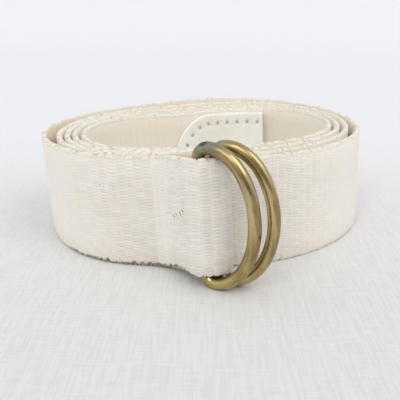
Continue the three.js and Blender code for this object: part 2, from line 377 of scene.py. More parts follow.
def webbing_grid():
    """Points of the webbing, station by section point, with ribs along the faces and bumps on the edges.
    Then each point's place on the flat cloth, how deep in a notch it is, and whether it is on the inside."""
    count = int(round(WEB_LENGTH / RIB_PITCH * STATIONS_PER_RIB)) + 1
    x, y, lift, width, along = even_steps(LINE, count).T[:, :, None]
    slope = unit(np.gradient(np.hstack([x, y]), axis=0))
    normal_x, normal_y = slope[:, 1:], -slope[:, :1]
    across, up, on_face, inner_half = web_section()
    woven = along + smooth_noise(along, WANDER_SEED, WANDER_WAVES, RIB_WANDER)
    rib = ribbed(np.cos(np.pi * woven / RIB_PITCH), RIB_DEPTH)
    half_rib = ribbed(np.sin(2 * np.pi * woven / RIB_PITCH), HALF_RIB_DEPTH)
    half = WEB_THICK / 2 + (rib + half_rib) * on_face
    top = selvedge_bumps(woven, TOP_SEED)
    worn = np.clip(2 - 2 * np.abs(along - WORN_EDGE_MIDDLE) / WORN_EDGE_HALF, 0, 1)
    low = selvedge_bumps(woven, LOW_SEED) * (1 + WORN_EDGE_MORE * worn) - WORN_EDGE_LIFT * worn
    near_edge = np.clip((np.abs(up) - EDGE_MOVES_FROM) / (inner_half - EDGE_MOVES_FROM), 0, 1)
    edge = (np.where(up > 0, top, -low) - np.sign(up) * SELVEDGE_BUMP / 2) * near_edge
    height = lift + width / 2 + up * width / 2 + edge
    on_floor = np.maximum(height, FLOOR_CLEAR)
    grid = leaned(x + normal_x * across * half, y + normal_y * across * half, on_floor)
    cloth = np.stack(np.broadcast_arrays(woven, up * WEB_WIDTH / 2), -1)
    bump = np.where(up > 0, top, low)
    # the cotton paints shade into the notches between the selvedge bumps
    notch = np.clip(NOTCH_FROM - bump / SELVEDGE_BUMP, 0, NOTCH_FROM) / NOTCH_FROM * (1 - on_face)
    inside = on_face * (across > 0) * np.ones_like(along)
    return grid, cloth, notch, inside


web_grid, web_cloth, web_notch, web_inside = webbing_grid()
print("webbing grid", web_grid.shape)

# %% [markdown]
# ## Helpers for materials
# A material is a small graph of nodes. One helper adds a node and fills its inputs. The others name the
# few steps that every finish here needs, so that each graph reads as a list of what is seen. A socket
# knows the tree that it is in, so most helpers need no more than their values.

# %% Node helpers


def srgb(red, green, blue):
    """Linear colour with alpha from the 0 to 255 numbers that an image editor shows."""
    c = np.array([red, green, blue]) / 255
    linear = np.where(c <= 0.04045, c / 12.92, ((c + 0.055) / 1.055) ** 2.4)
    return (*linear.tolist(), 1.0)


def add_node(kind, inputs={}, tree=None, **settings):
    """A node with its settings and inputs. A socket is linked, and any other value is set. The node goes
    where its sockets are, so a tree is named only when it has none."""
    sockets = [value for value in inputs.values() if isinstance(value, bpy.types.NodeSocket)]
    tree = tree or sockets[0].id_data
    node = tree.nodes.new("ShaderNode" + kind)
    for key, value in settings.items():
        setattr(node, key, value)
    for key, value in inputs.items():
        if isinstance(value, bpy.types.NodeSocket):
            tree.links.new(value, node.inputs[key])
        else:
            node.inputs[key].default_value = value
    return node


def math_of(operation, *values):
    """One step of arithmetic."""
    return add_node("Math", dict(enumerate(values)), operation=operation).outputs[0]


def times(first, second):
    """One value multiplied by another."""
    return math_of("MULTIPLY", first, second)


def vector_of(operation, *vectors):
    """One number worked out from vectors: a distance, a length or a dot product."""
    return add_node("VectorMath", dict(enumerate(vectors)), operation=operation).outputs["Value"]


def between(value, low, high, out_low=0.0, out_high=1.0):
    """Smooth step of value from low to high, given out as out_low to out_high."""
    inputs = {"Value": value, "From Min": low, "From Max": high, "To Min": out_low, "To Max": out_high}
    return add_node("MapRange", inputs, interpolation_type="SMOOTHSTEP").outputs[0]


def mix_colour(share, first, second):
    """The first colour where the share is nothing, and the second where it is one."""
    return add_node("Mix", {0: share, 6: first, 7: second}, data_type="RGBA").outputs[2]


def noise(place, scale, detail=2.0, roughness=0.5):
    """Soft random patches, about as many to a unit of place as the scale says."""
    inputs = {"Vector": place, "Scale": scale, "Detail": detail, "Roughness": roughness}
    return add_node("TexNoise", inputs).outputs["Fac"]


def stretched(place, *scale):
    """A place with each axis scaled by its own number, which draws a pattern out into streaks."""
    return add_node("Mapping", {"Vector": place, "Scale": scale}).outputs[0]


def from_mesh(tree, name, output="Fac"):
    """What the mesh's own attribute of that name holds."""
    return add_node("Attribute", tree=tree, attribute_name=name).outputs[output]


def new_material(name, inputs):
    """A material with some inputs of its one shader set. Given out with it are its tree, the shader, and
    the place on the piece in metres, which every finish here reads."""
    material = bpy.data.materials.new(name)
    material.use_nodes = True
    tree = material.node_tree
    shader = tree.nodes["Principled BSDF"]
    for key, value in inputs.items():
        shader.inputs[key].default_value = value
    return material, tree, shader, add_node("TexCoord", tree=tree).outputs["Object"]


def paint(shader, colour, *layers):
    """Base colour, with each (share, colour) layer laid over what is below it."""
    for share, layer in layers:
        colour = mix_colour(share, colour, layer)
    shader.id_data.links.new(colour, shader.inputs["Base Color"])


def emboss(shader, height, depth, strength):
    """Light and shade as if the surface rose and fell by the height, up to the depth."""
    bump = add_node("Bump", {"Height": height, "Distance": depth, "Strength": strength})
    shader.id_data.links.new(bump.outputs[0], shader.inputs["Normal"])


# %% [markdown]
# ## The weave as a node group
# The flat cloth has its own UV map: how far along the webbing a point is, and how far across, both in
# metres. The group turns that into bricks one rib long and one thread high, stepped by half a thread
# from rib to rib, and gives out their height, a painted shade for the lines between them and a number for
# each float.

# %% Weave group
WANDER_SCALE = 170.0
FLOAT_WANDER = 0.8
FLOAT_END_ROUND, FLOAT_SIDE_ROUND = 0.35, 0.6


def build_weave_group():
    """Floats are the cells of a rib number and a row number. A sine across each gives its round top."""
    tree = bpy.data.node_groups.new("webbing weave", "ShaderNodeTree")
    tree.interface.new_socket("Cloth", in_out="INPUT", socket_type="NodeSocketVector")
    for name, value in (("Rib pitch", RIB_PITCH), ("Float pitch", FLOAT_PITCH)):
        tree.interface.new_socket(name, in_out="INPUT", socket_type="NodeSocketFloat").default_value = value
    for name in ("Height", "Groove shade", "Thread"):
        tree.interface.new_socket(name, in_out="OUTPUT", socket_type="NodeSocketFloat")
    given = tree.nodes.new("NodeGroupInput").outputs
    along, across = add_node("SeparateXYZ", {0: given["Cloth"]}).outputs[:2]
    rib = math_of("ADD", math_of("DIVIDE", along, given["Rib pitch"]), 0.5)
    rib_number = math_of("FLOOR", rib)
    half_step = times(math_of("FLOORED_MODULO", rib_number, 2.0), 0.5)
    wander = times(noise(given["Cloth"], WANDER_SCALE, 1.0), FLOAT_WANDER)
    row = math_of("DIVIDE", across, given["Float pitch"])
    row = math_of("ADD", row, math_of("ADD", half_step, wander))
    across_rib, across_row = (
        math_of("ABSOLUTE", math_of("SINE", times(value, np.pi))) for value in (rib, row))
    pillow = times(
        math_of("POWER", across_rib, FLOAT_END_ROUND), math_of("POWER", across_row, FLOAT_SIDE_ROUND))
    # painted shade: where the floats part, the lines are darkened as if shade fell in them
    row_gap = between(across_row, 0, 0.45, 1, 0)
    inside_rib = between(across_rib, 0.2, 0.65)
    rib_gap = between(across_rib, 0, 0.3, 0.2, 0)
    groove_shade = math_of("MAXIMUM", times(row_gap, inside_rib), rib_gap)
    cell = add_node("CombineXYZ", {0: rib_number, 1: math_of("FLOOR", row)}).outputs[0]
    thread = add_node("TexWhiteNoise", {"Vector": cell}, noise_dimensions="2D").outputs["Value"]
    put = tree.nodes.new("NodeGroupOutput").inputs
    for name, value in (("Height", pillow), ("Groove shade", groove_shade), ("Thread", thread)):
        tree.links.new(value, put[name])
    return tree


WEAVE = build_weave_group()

# %% [markdown]
# ## Natural cotton
# Undyed cotton is a warm off-white. The lines between the floats are painted a little darker, for the
# shade in them; single threads differ slightly, and years of use leave faint yellowing and a few specks.
# Those marks are placed on the flat cloth, by how far along and across they are, so they stay on the
# thread they sit on. A faint warm tint is also painted into the crease of the loop, and the inner turns
# are painted warmer, both for light that bounces between the layers. The weave stands out most near the
# rings and is worn flatter away from them. A little light passes through the thread, which keeps the lines
# between the floats soft.

# %% Cotton material
COTTON = srgb(242, 237, 230)
COTTON_TONE_AND_GROOVE_SHADE = srgb(180, 174, 168)
COTTON_WARM_TONE_AND_BOUNCE = srgb(244, 235, 217)
SELVEDGE_PAINTED_SHADE = srgb(231, 226, 213)
NOTCH_SHADE = srgb(202, 190, 164)
INSIDE_FACE_BOUNCE = srgb(240, 224, 194)
STAIN_AND_CREASE_WARMTH = srgb(224, 214, 172)
SPECK_COLOUR = srgb(84, 80, 60)
DIRT_AND_SHADOW_COLOUR = srgb(116, 108, 78)
GROOVE_SHADE_SHARE = 0.7
THREAD_SHARE = 0.14
FLOAT_HEIGHT = 0.11 * MM
FUZZ_SCALE, FUZZ_SHARE = 4200.0, 0.45
SELVEDGE_FROM, SELVEDGE_FULL = 14.5 * MM, 15.1 * MM
CRISP_PLACE = (FRONT_HINGE + np.array([4.0, -2.0, 0.0]) * MM).tolist()
CRISP_TO, SOFT_FROM = 27 * MM, 54 * MM
SOFT_SHARE = 0.3
SEWN_MIDDLE, SEWN_HALF = 48.5 * MM, 3.4 * MM
SEWN_FLATTER = 0.6
DIRT_SHADOW_UP_TO, DIRT_SHADOW_FADE = 14.7 * MM, 0.6 * MM
DIRT_SHADOW_MIDDLE, DIRT_SHADOW_HALF = 61 * MM, 25 * MM
DIRT_SHADOW_RAGGED = 1.7 * MM
DIRT_SHADOW_SHARE = 0.85

# marks on the flat cloth: along, across, half length, half height (mm), slant (degrees), strength
SPECKS = [
    (43.5, -0.3, 0.24, 0.9, -30, 0.9),
    (42.4, 0.3, 0.2, 0.7, -30, 0.9),
    (41.5, -0.5, 0.18, 0.5, -30, 0.7),
    (40.2, 0.7, 0.26, 1.0, -22, 1.0),
    (39.3, 0.0, 0.2, 0.7, -22, 0.9),
    (38.8, 1.6, 0.3, 0.7, -50, 1.0),
    (47.9, 6.6, 0.9, 0.14, 0, 0.5),
    (46.3, 0.4, 1.1, 0.14, 0, 0.5),
    (28.5, -9.4, 0.12, 0.9, -30, 0.35),
    (27.5, -10.2, 0.12, 0.6, 35, 0.35),
    (65.9, 7.5, 0.3, 0.25, 0, 0.4),
    (61.8, -10.2, 0.25, 0.25, 0, 0.3),
]
STAINS_AND_CREASE_WARMTH = [
    # painted light: a faint warm tint in the crease of the loop's outer leg, for light bounced inside the
    # crease
    (38.3, 0.0, 2.2, 5.5, 0, 0.3),
    # real yellow stains on the selvedges
    (54.9, 15.8, 1.5, 0.9, 0, 0.9),
    (48.9, 15.7, 1.8, 0.9, 0, 0.8),
    (41.8, -15.6, 3.5, 0.9, 0, 0.7),
]


def mark_share(cloth, marks):
    """How much of a mark there is: the largest share of the soft, slightly ragged ellipses."""
    ragged = math_of("MULTIPLY_ADD", noise(cloth, 2600.0, 2.0), 0.9, -0.45)
    total = 0.0
    for along, across, half_length, half_height, slant, strength in marks:
        inputs = {
            "Vector": cloth, "Location": (along * MM, across * MM, 0), "Rotation": (0, 0, np.radians(slant)),
            "Scale": (half_length * MM, half_height * MM, 1)}
        local = add_node("Mapping", inputs, vector_type="TEXTURE").outputs[0]
        away = math_of("ADD", vector_of("LENGTH", local), ragged)
        total = math_of("MAXIMUM", total, between(away, 0.4, 1, strength, 0))
    return total


def near_place(value, middle, half):
    """One at the middle of a stretch and nothing past its ends, with soft ends."""
    away = math_of("ABSOLUTE", math_of("SUBTRACT", value, middle))
    return between(away, half * 0.7, half, 1, 0)


def dirt_and_shadow_share(cloth, along, across):
    """Ragged soiling and painted contact shadow along the front of the lower selvedge."""
    uneven = noise(cloth, 900.0, 3.0, 0.6)
    ragged = math_of("MULTIPLY_ADD", uneven, DIRT_SHADOW_RAGGED, -DIRT_SHADOW_RAGGED / 2)
    low = math_of("SUBTRACT", ragged, across)
    dirt_and_shadow = between(low, DIRT_SHADOW_UP_TO, DIRT_SHADOW_UP_TO + DIRT_SHADOW_FADE, 0, DIRT_SHADOW_SHARE)
    return times(dirt_and_shadow, near_place(along, DIRT_SHADOW_MIDDLE, DIRT_SHADOW_HALF))


def cotton_material():
    """Off-white cotton. Each layer of colour is one thing that shows on it, from broad to fine. Some of the
    layers are painted shade or painted bounce light, each marked where it is laid on.
    """
    material, tree, shader, place = new_material(
        "natural cotton", {
            "Roughness": 0.92, "Sheen Weight": 0.12, "Subsurface Weight": 0.25,
            "Subsurface Radius": (1.0, 0.8, 0.55), "Subsurface Scale": 0.9 * MM})
    cloth = add_node("UVMap", tree=tree, uv_map="cloth").outputs[0]
    along, across = add_node("SeparateXYZ", {0: cloth}).outputs[:2]
    given = {"Cloth": cloth, "Rib pitch": RIB_PITCH, "Float pitch": FLOAT_PITCH}
    weave = add_node("Group", given, node_tree=WEAVE)
    flatter = math_of("MULTIPLY_ADD", near_place(along, SEWN_MIDDLE, SEWN_HALF), -SEWN_FLATTER, 1.0)
    near = between(vector_of("DISTANCE", place, CRISP_PLACE), CRISP_TO, SOFT_FROM, 1, SOFT_SHARE)
    crisp = times(near, flatter)
    # painted light: the inner turns are painted warmer, for the warm light that bounces between the layers;
    # the random patches below are the cotton's own tone
    inner_turns_bounce = between(along, 0.1, 0.9, 0, 0.8)
    patches = between(noise(place, 90.0, 3.0), 0.4, 0.75, 0, 0.5)
    worn = between(noise(cloth, 110.0, 2.0), 0.35, 0.65, 0.5, 1)
    contrast = times(times(crisp, worn), GROOVE_SHADE_SHARE)
    paint(
        shader, COTTON,
        (math_of("MAXIMUM", patches, inner_turns_bounce), COTTON_WARM_TONE_AND_BOUNCE),
        # painted light: the faces inside the outer turns get a warm tint, for the light that bounces in the
        # gaps between the layers
        (times(from_mesh(tree, "inside"), between(along, 0.2, 0.5, 0.9, 0)), INSIDE_FACE_BOUNCE),
        (times(between(weave.outputs["Thread"], 0, 1, 0, THREAD_SHARE), crisp), COTTON_TONE_AND_GROOVE_SHADE),
        # painted shade: the lines between the floats, darkest near the rings
        (times(weave.outputs["Groove shade"], contrast), COTTON_TONE_AND_GROOVE_SHADE),
        # painted shade: both selvedges are painted a darker, yellower cream, to offset the full light on the
        # upper edges
        (between(math_of("ABSOLUTE", across), SELVEDGE_FROM, SELVEDGE_FULL), SELVEDGE_PAINTED_SHADE),
        # painted shade: the notches between the selvedge bumps are darkened, less on the inner turns
        (times(from_mesh(tree, "notch"), between(along, 0.1, 0.3, 0.6, 0.35)), NOTCH_SHADE),
        # real stains, and the painted warm tint in the crease of the loop
        (mark_share(cloth, STAINS_AND_CREASE_WARMTH), STAIN_AND_CREASE_WARMTH),
        # partly painted shadow: the dark ragged line along the lower edge stands for soiling and for the
        # shadow in the crevice between the edge and the floor
        (dirt_and_shadow_share(cloth, along, across), DIRT_AND_SHADOW_COLOUR),
        (mark_share(cloth, SPECKS), SPECK_COLOUR),
    )
    fuzz = times(noise(place, FUZZ_SCALE, 3.0, 0.7), FUZZ_SHARE)
    height = math_of("ADD", times(weave.outputs["Height"], crisp), fuzz)
    emboss(shader, height, FLOAT_HEIGHT, 0.9)
    return material


cotton = cotton_material()

# %% [markdown]
# The strip is one mesh. It stands in for the plain strip of the frame.

# %% Webbing strap
web_mesh = swept_mesh("webbing", web_grid, cloth=web_cloth)
add_attribute(web_mesh, "notch", web_notch)
add_attribute(web_mesh, "inside", web_inside)
webbing = add_piece("webbing", web_mesh, "belt", cotton)
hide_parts("webbing_strap")

# %% [markdown]
# ## Loose fibres and the loop's stitches
# Worn selvedges stand with short fibres, which make the edges look soft. Each fibre is a thin curved
# tube with three sides. None stand near the rings, where the wires would rub them off. At each
# selvedge the crosswise yarn turns back in small loops, which make the edge bumpy. The sewn loop is
# held by two rows of stitches across the webbing, seen on its outer face and inside it.

# %% Place on the webbing
EVEN_LINE = even_steps(LINE, 6000)


def web_frame(at, line=EVEN_LINE):
    """Middle line at lengths along the webbing: x, y, lift, width, slope x, slope y."""
    slope = unit(np.gradient(line[:, :2], axis=0))
    return [np.interp(at, line[:, 4], column) for column in (*line[:, :4].T, *slope.T)]


# %% Tubes


def tubes_mesh(name, lines, radii, sides):
    """Many tubes in one mesh. lines is (tube, step, xyz) and radii is (tube, step); the ends are closed."""
    count, steps = lines.shape[:2]
    slope = unit(np.gradient(lines, axis=1))
    helper = np.where(np.abs(slope[..., 2:]) < 0.8, [0.0, 0.0, 1.0], [1.0, 0.0, 0.0])
    side = unit(np.cross(slope, helper))
    other = np.cross(slope, side)
    turn = np.linspace(0, 2 * np.pi, sides, endpoint=False)[None, None, :, None]
    around = side[:, :, None] * np.cos(turn) + other[:, :, None] * np.sin(turn)
    points = lines[:, :, None] + radii[:, :, None, None] * around
    quads = grid_quads(steps, sides, False)
    first = np.arange(count)[:, None, None] * steps * sides
    faces = (quads[None] + first).reshape(-1, 4).tolist()
    caps = np.stack([np.arange(sides)[::-1], (steps - 1) * sides + np.arange(sides)])
    faces += (caps[None] + first).reshape(-1, sides).tolist()
    return smooth_mesh(name, points.reshape(-1, 3), faces)


# %% Loose fibres
FIBRE_SEED = 12
FIBRE_COUNT = 4400
FIBRE_LENGTH = (0.35 * MM, 1.0 * MM)
FIBRE_RADIUS = 0.032 * MM
FIBRE_INSET = 0.35 * MM
FIBRE_STEPS, FIBRE_SIDES = 4, 3
FIBRE_AIM, FIBRE_BEND = 0.5, 0.35
LOW_FIBRE_LIFT = 0.1 * MM
UPPER_SHARE = 0.6
END_MARGIN = 1 * MM
CLEAR_OF_RINGS = 20 * MM


def near_rings(x, y):
    """Whether places in the part's frame are near a ring's bar, seen from above."""
    bars = np.stack(list(HINGES.values()))[:, None]
    return np.hypot(x - bars[..., 0], y - bars[..., 1]).min(0) < CLEAR_OF_RINGS


def fibre_lines():
    """Short curved lines out of both selvedges, away from the rings: a start, plus an aim times t, plus a
    bend times t squared."""
    rng = np.random.default_rng(FIBRE_SEED)
    at = rng.uniform(END_MARGIN, WEB_LENGTH - END_MARGIN, FIBRE_COUNT)
    x, y, lift, width, slope_x, slope_y = web_frame(at)
    across = rng.uniform(-0.4, 0.4, FIBRE_COUNT) * WEB_THICK
    top = rng.random(FIBRE_COUNT) < UPPER_SHARE
    inset = rng.uniform(0.0, FIBRE_INSET, FIBRE_COUNT) + SELVEDGE_BUMP / 2
    height = np.where(top, lift + width - inset, lift + inset + LOW_FIBRE_LIFT)
    start = leaned(x + slope_y * across, y - slope_x * across, height)
    aim = rng.normal(0, FIBRE_AIM, (FIBRE_COUNT, 3))
    aim[:, 2] = np.where(top, 0.8 + 0.3 * aim[:, 2], 0.1 * np.abs(aim[:, 2]))
    outwards = np.sign(across) * np.where(top, 0.2, 0.9)
    aim[:, :2] += np.stack([slope_y * outwards, -slope_x * outwards], 1)
    bend = rng.normal(0, FIBRE_BEND, (FIBRE_COUNT, 3))
    bend[:, 2] = np.abs(bend[:, 2]) * np.where(top, -0.5, 0.5)
    length = rng.uniform(*FIBRE_LENGTH, FIBRE_COUNT)[:, None, None]
    t = np.linspace(0, 1, FIBRE_STEPS)[None, :, None]
    lines = start[:, None] + length * (unit(aim)[:, None] * t + bend[:, None] * t**2)
    above_floor = lines[..., 2].min(1) > 2 * FIBRE_RADIUS
    return lines[above_floor & ~near_rings(start[:, 0], start[:, 1])]


# %% Yarn that turns back at the selvedges
YARN_PITCH, YARN_UNEVEN = 1.2 * MM, 0.22
YARN_RADIUS = 0.16 * MM
YARN_DOWN_FACE = 0.65 * MM
YARN_RISE = (-0.08 * MM, 0.24 * MM)
YARN_RISE_NEAR_RINGS = 0.02 * MM
YARN_ASKEW = 0.35 * MM
YARN_TURN = 1.3
YARN_STEPS, YARN_SIDES = 7, 6


def yarn_lines(upper, seed):
    """Small arcs over one selvedge from face to face, each of its own height and a little askew."""
    rng = np.random.default_rng(seed)
    at = np.arange(END_MARGIN, WEB_LENGTH - END_MARGIN, YARN_PITCH)
    at = at + rng.uniform(-YARN_UNEVEN, YARN_UNEVEN, len(at)) * YARN_PITCH
    x, y, lift, width, slope_x, slope_y = (column[:, None] for column in web_frame(at))
    rise = rng.uniform(*YARN_RISE, (len(at), 1))
    near = near_rings(x[:, 0] + SHIFT[0], y[:, 0] + SHIFT[1])[:, None]
    rise = np.where(near, np.minimum(rise, YARN_RISE_NEAR_RINGS), rise)
    turn = np.linspace(-YARN_TURN, YARN_TURN, YARN_STEPS)[None]
    reach = (np.cos(turn) - np.cos(YARN_TURN)) / (1 - np.cos(YARN_TURN))
    over = -YARN_DOWN_FACE + (YARN_DOWN_FACE + rise - YARN_RADIUS / 2) * reach
    across = np.sin(turn) / np.sin(YARN_TURN) * (WEB_THICK / 2 - YARN_RADIUS * 0.7)
    askew = rng.uniform(-YARN_ASKEW, YARN_ASKEW, (len(at), 1)) * np.sin(turn)
    height = lift + width + over if upper else np.maximum(lift - over, YARN_RADIUS + FLOOR_CLEAR)
    return leaned(x + slope_y * across + slope_x * askew, y - slope_x * across + slope_y * askew, height)


# %% Stitches of the loop
# each row shows twice: on the loop's outer leg and on its inner leg, at these lengths along the webbing
STITCH_ROWS = (49.7 * MM, 47.1 * MM, 1.15 * MM, 3.3 * MM)
STITCH_PITCH = 2.9 * MM
STITCH_LENGTH = 2.3 * MM
STITCH_RADIUS = 0.13 * MM
STITCH_MARGIN = 1.8 * MM
STITCH_SUNK = 1.55
STITCH_STEPS, STITCH_SIDES = 9, 8


def stitch_lines():
    """Rows of short arcs that dip into the webbing at both ends, on the loop's outer and inner leg."""
    first = STITCH_MARGIN + STITCH_LENGTH / 2
    last = WEB_WIDTH - first
    ups = np.linspace(first, last, int((last - first) / STITCH_PITCH) + 1)[:, None]
    t = np.linspace(-1, 1, STITCH_STEPS)
    away = -(WEB_THICK / 2 + STITCH_RADIUS * (1 - t**4 - STITCH_SUNK))
    lines = []
    for at in STITCH_ROWS:
        x, y, lift, _, slope_x, slope_y = web_frame(at)
        lines.append(leaned(x + slope_y * away, y - slope_x * away, lift + ups + t * STITCH_LENGTH / 2))
    return np.concatenate(lines)


# %% Fibres, yarn and stitches in the mesh
THREAD = srgb(243, 238, 230)
EDGE_YARN = srgb(241, 237, 226)


def thread_material(name, colour):
    """Plain cotton thread: matt, with a faint unevenness."""
    material, tree, shader, place = new_material(name, {"Roughness": 0.9, "Sheen Weight": 0.1})
    uneven = between(noise(place, 900.0), 0.3, 0.7, 0, 0.25)
    paint(shader, colour, (uneven, COTTON_TONE_AND_GROOVE_SHADE))
    return material


def add_tubes(name, lines, radii, sides, thread):
    """A piece of tubes that rides on the belt. radii is one number, or one for each step of a line."""
    mesh = tubes_mesh(name, lines, np.broadcast_to(radii, lines.shape[:2]), sides)
    add_piece(name, mesh, "belt", thread)


fibre_radii = FIBRE_RADIUS * np.linspace(1, 0.5, FIBRE_STEPS)
fibre = thread_material("loose fibre", EDGE_YARN)
add_tubes("selvedge_fibres", fibre_lines(), fibre_radii, FIBRE_SIDES, fibre)

for edge_name, upper, seed in (("upper", True, 21), ("lower", False, 22)):
    yarn = thread_material(edge_name + " selvedge yarn", EDGE_YARN)
    add_tubes(edge_name + "_selvedge_yarn", yarn_lines(upper, seed), YARN_RADIUS, YARN_SIDES, yarn)

sewing_thread = thread_material("sewing thread", THREAD)
add_tubes("loop_stitches", stitch_lines(), STITCH_RADIUS, STITCH_SIDES, sewing_thread)

# %% [markdown]
# ## The leather tab
# The tab is one strip of white leather, folded round the webbing's end. Both of its ends are cut round,
# and a row of stitches follows the edge. The section of the strip is carried along a path that goes
# up one side, round the end and back down the other side. Where the strip ends, the section's half
# height follows a quarter circle, which makes the round cut.

# %% Tab sizes and its path
GAP = 0.3 * MM
TAB_THICK = 1.2 * MM
TAB_HALF_HEIGHT = 14.7 * MM
TAB_LENGTH = 38.0 * MM
TAB_STEP = 0.42 * MM
TAB_LINE_STEP = 0.25 * MM
TAB_TIP_FROM = 0.06
TAB_ROUND_STEPS = 48
TAB_FOLD_STEPS = 14


def tab_path():
    """Rows of x, y, normal x, normal y, height of the middle, half height and length from the nearer tip.
    The lengths crowd at the tip, where the outline turns quickly."""
    turned = np.linspace(TAB_TIP_FROM, np.pi / 2, TAB_ROUND_STEPS)
    straight = np.arange(TAB_HALF_HEIGHT, TAB_LENGTH, TAB_STEP)[1:]
    places = np.concatenate([TAB_HALF_HEIGHT * (1 - np.cos(turned)), straight, [TAB_LENGTH]])
    line = even_steps(LINE, int(WEB_LENGTH / TAB_LINE_STEP))
    x, y, lift, _, slope_x, slope_y = web_frame(WEB_LENGTH - (TAB_LENGTH - places), line)
    centre = lift + WEB_WIDTH / 2
    half = np.sqrt(TAB_HALF_HEIGHT**2 - np.clip(TAB_HALF_HEIGHT - places, 0, None) ** 2)
    away = WEB_THICK / 2 + GAP + TAB_THICK / 2
    legs = []
    for nx, ny in ((slope_y, -slope_x), (-slope_y, slope_x)):
        legs.append(np.stack([x + nx * away, y + ny * away, nx, ny, centre, half, places], 1))
    angle = np.arctan2(-slope_x[-1], slope_y[-1]) - np.linspace(0, np.pi, TAB_FOLD_STEPS + 1)[1:-1]
    nx, ny = np.cos(angle), np.sin(angle)
    fold = (x[-1] + nx * away, y[-1] + ny * away, nx, ny, centre[-1], TAB_HALF_HEIGHT, TAB_LENGTH)
    fold = np.stack(np.broadcast_arrays(*fold), 1)
    return np.vstack([legs[0], fold, legs[1][::-1]]), len(places)


TAB_PATH, TAB_LEG_ROWS = tab_path()
print("tab path", TAB_PATH.shape[0], "sections")

# %% [markdown]
# The awl pressed each hole into the leather. The holes are pits in the mesh, and a matching attribute
# paints grey shade into them. They follow the outline a few millimetres inside the edge: along the upper
# side, round the end and back along the lower side.

# %% Stitch holes
HOLE_PITCH = 4.38 * MM
HOLE_INSET = 3.5 * MM
HOLE_RADIUS, HOLE_DEPTH = 0.8 * MM, 0.5 * MM
FIRST_HOLE_FROM_FOLD = 2.3 * MM


def hole_places():
    """Places (length from the tip, height from the middle) at equal steps along the inset outline."""
    radius = TAB_HALF_HEIGHT - HOLE_INSET
    straight = TAB_LENGTH - TAB_HALF_HEIGHT - FIRST_HOLE_FROM_FOLD
    total = 2 * straight + np.pi * radius
    steps = int(round(total / HOLE_PITCH))
    at = np.linspace(0, total, steps + 1)
    on_arc = (at > straight) & (at < straight + np.pi * radius)
    angle = np.pi / 2 + (at - straight) / radius
    from_tip = np.where(
        on_arc, TAB_HALF_HEIGHT + radius * np.cos(angle),
        TAB_LENGTH - FIRST_HOLE_FROM_FOLD - np.minimum(at, total - at))
    up = np.where(on_arc, radius * np.sin(angle), np.where(at <= straight, radius, -radius))
    return from_tip, up


HOLES = np.stack(hole_places(), 1)
print(len(HOLES), "holes on each side of the tab")

# %% Tab surface
TAB_FACE_POINTS, TAB_BACK_POINTS, TAB_EDGE_POINTS = 72, 16, 3
TAB_EDGE_ROUND = 0.45 * MM
PRESSED_WIDTH, PRESSED_DEPTH = 1.2 * MM, 0.22 * MM


def tab_section():
    """Closed section of the strip: how far out and up, from -1 to 1, and how far round its edges."""
    face, back = np.linspace(-1, 1, TAB_FACE_POINTS), -np.linspace(-1, 1, TAB_BACK_POINTS)
    turn = np.linspace(-np.pi / 2, np.pi / 2, TAB_EDGE_POINTS + 2)[1:-1]
    out = np.concatenate([np.ones_like(face), -np.sin(turn), -np.ones_like(back), np.sin(turn)])
    up = np.concatenate([face, np.ones_like(turn), back, -np.ones_like(turn)])
    edge = np.concatenate([0 * face, np.cos(turn), 0 * back, np.cos(turn)])
    return out, up, edge


def tab_grid():
    """Points of the tab: path section by section point, with pressed edges and pits at the holes."""
    out, up, edge = tab_section()
    x, y, nx, ny, centre, half, place = (column[:, None] for column in TAB_PATH.T)
    rounding = np.minimum(TAB_EDGE_ROUND, half / 2)
    height = up * (half - rounding) + np.sign(up) * edge * rounding
    row = np.arange(len(TAB_PATH))[:, None]
    on_leg = (row < TAB_LEG_ROWS) | (row >= len(TAB_PATH) - TAB_LEG_ROWS)
    shown = out > 0.99
    pit = np.zeros(height.shape)
    for from_tip, hole_up in HOLES:
        away = np.hypot(place - from_tip, height - hole_up)
        pit = np.maximum(pit, np.exp(-((away / HOLE_RADIUS) ** 2)))
    pit = pit * on_leg * shown
    near_edge = np.clip(1 - (half - np.abs(height)) / PRESSED_WIDTH, 0, 1) ** 2 * shown
    across = out * TAB_THICK / 2 - HOLE_DEPTH * pit - PRESSED_DEPTH * near_edge
    return leaned(x + nx * across, y + ny * across, centre + height), pit


tab_points, tab_pits = tab_grid()

# %% [markdown]
# ## White leather
# The leather is smooth and slightly cool next to the cotton. It has a fine grain, a soft sheen, and
# painted grey shade in the stitch holes.

# %% Leather material
LEATHER = srgb(247, 247, 240)
LEATHER_DULL = srgb(242, 240, 229)
HOLE_SHADE = srgb(150, 149, 138)
PEBBLE_SCALE, PORE_SCALE = 1900.0, 5200.0
GRAIN_DEPTH = 0.05 * MM


def leather_material():
    """White leather, duller and rougher where it is worn, with a fine pebbled grain."""
    material, tree, shader, place = new_material("white leather", {"Specular IOR Level": 0.35})
    worn = between(noise(place, 140.0, 3.0), 0.35, 0.7)
    # painted shade: the stitch holes are greyed as if shade fell in them
    pit = between(from_mesh(tree, "pit"), 0.15, 0.9, 0, 0.75)
    paint(shader, LEATHER, (worn, LEATHER_DULL), (pit, HOLE_SHADE))
    tree.links.new(between(worn, 0, 1, 0.45, 0.6), shader.inputs["Roughness"])
    pebbles = add_node("TexVoronoi", {"Vector": place, "Scale": PEBBLE_SCALE}, feature="SMOOTH_F1")
    grain = math_of("ADD", pebbles.outputs["Distance"], noise(place, PORE_SCALE))
    emboss(shader, grain, GRAIN_DEPTH, 0.5)
    return material


leather = leather_material()
tab_mesh = swept_mesh("leather_tab", tab_points)
add_attribute(tab_mesh, "pit", tab_pits)
leather_tab = add_piece("leather_tab", tab_mesh, "belt", leather)
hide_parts("end_tab")

# %% [markdown]
# White thread runs from hole to hole on both sides of the tab. It is the same colour as the leather, so
# in the photograph only the holes show.

